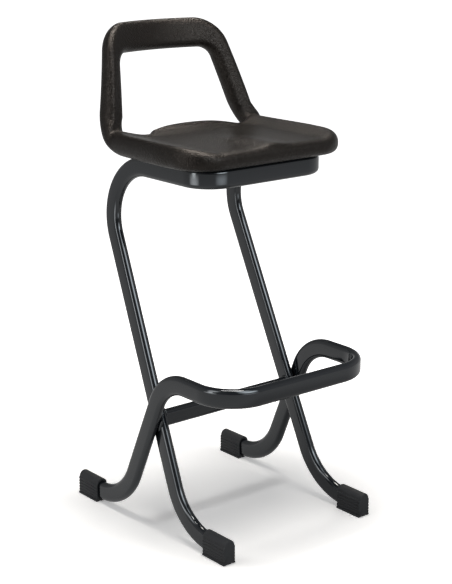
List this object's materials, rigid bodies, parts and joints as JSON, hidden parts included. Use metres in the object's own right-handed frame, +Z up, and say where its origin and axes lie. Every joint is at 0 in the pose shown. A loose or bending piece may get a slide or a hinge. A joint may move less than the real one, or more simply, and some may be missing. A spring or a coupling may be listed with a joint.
{
  "type": "bar stool",
  "caption": "Tall stool with a moulded padded seat and open low back on two crossed bent tube loops, with a footrest bar and rubber feet.",
  "frame": {"origin": "on the floor, under the middle of the whole stool's footprint", "axes": "+Z up, the sitter faces -Y, X runs left to right across the seat"},
  "size_m": [0.4172, 0.4968, 0.9913],
  "materials": {
    "powder_coat": "satin anthracite powder coat on steel",
    "foot_rubber": "matte moulded rubber, ribbed along its sides",
    "foam_skin": "self-skinned polyurethane foam with a fine leather grain and a soft sheen",
    "zinc_plate": "bright zinc plate",
    "bare_steel": "plain rolled steel, hidden in the moulding"
  },
  "bodies": {
    "root": {"leg_loop": "powder_coat", "footrest_loop": "powder_coat", "crossbar": "powder_coat", "seat_strap_front": "powder_coat", "seat_strap_rear": "powder_coat", "weld_crossing_left_front": "powder_coat", "weld_crossing_left_rear": "powder_coat", "weld_crossing_right_front": "powder_coat", "weld_crossing_right_rear": "powder_coat", "weld_crossbar_left": "powder_coat", "weld_crossbar_right": "powder_coat", "weld_strap_front_left": "powder_coat", "weld_strap_front_right": "powder_coat", "weld_strap_rear_left": "powder_coat", "weld_strap_rear_right": "powder_coat", "foot_front_left": "foot_rubber", "foot_front_right": "foot_rubber", "foot_rear_left": "foot_rubber", "foot_rear_right": "foot_rubber", "seat_pad": "foam_skin", "seat_screw_front_left": "zinc_plate", "seat_screw_front_right": "zinc_plate", "seat_screw_rear_left": "zinc_plate", "seat_screw_rear_right": "zinc_plate", "seat_washer_front_left": "zinc_plate", "seat_washer_front_right": "zinc_plate", "seat_washer_rear_left": "zinc_plate", "seat_washer_rear_right": "zinc_plate", "threaded_insert_front_left": "zinc_plate", "threaded_insert_front_right": "zinc_plate", "threaded_insert_rear_left": "zinc_plate", "threaded_insert_rear_right": "zinc_plate", "back_hoop_rod": "bare_steel", "seat_insert_plate": "bare_steel"}
  },
  "joints": []
}
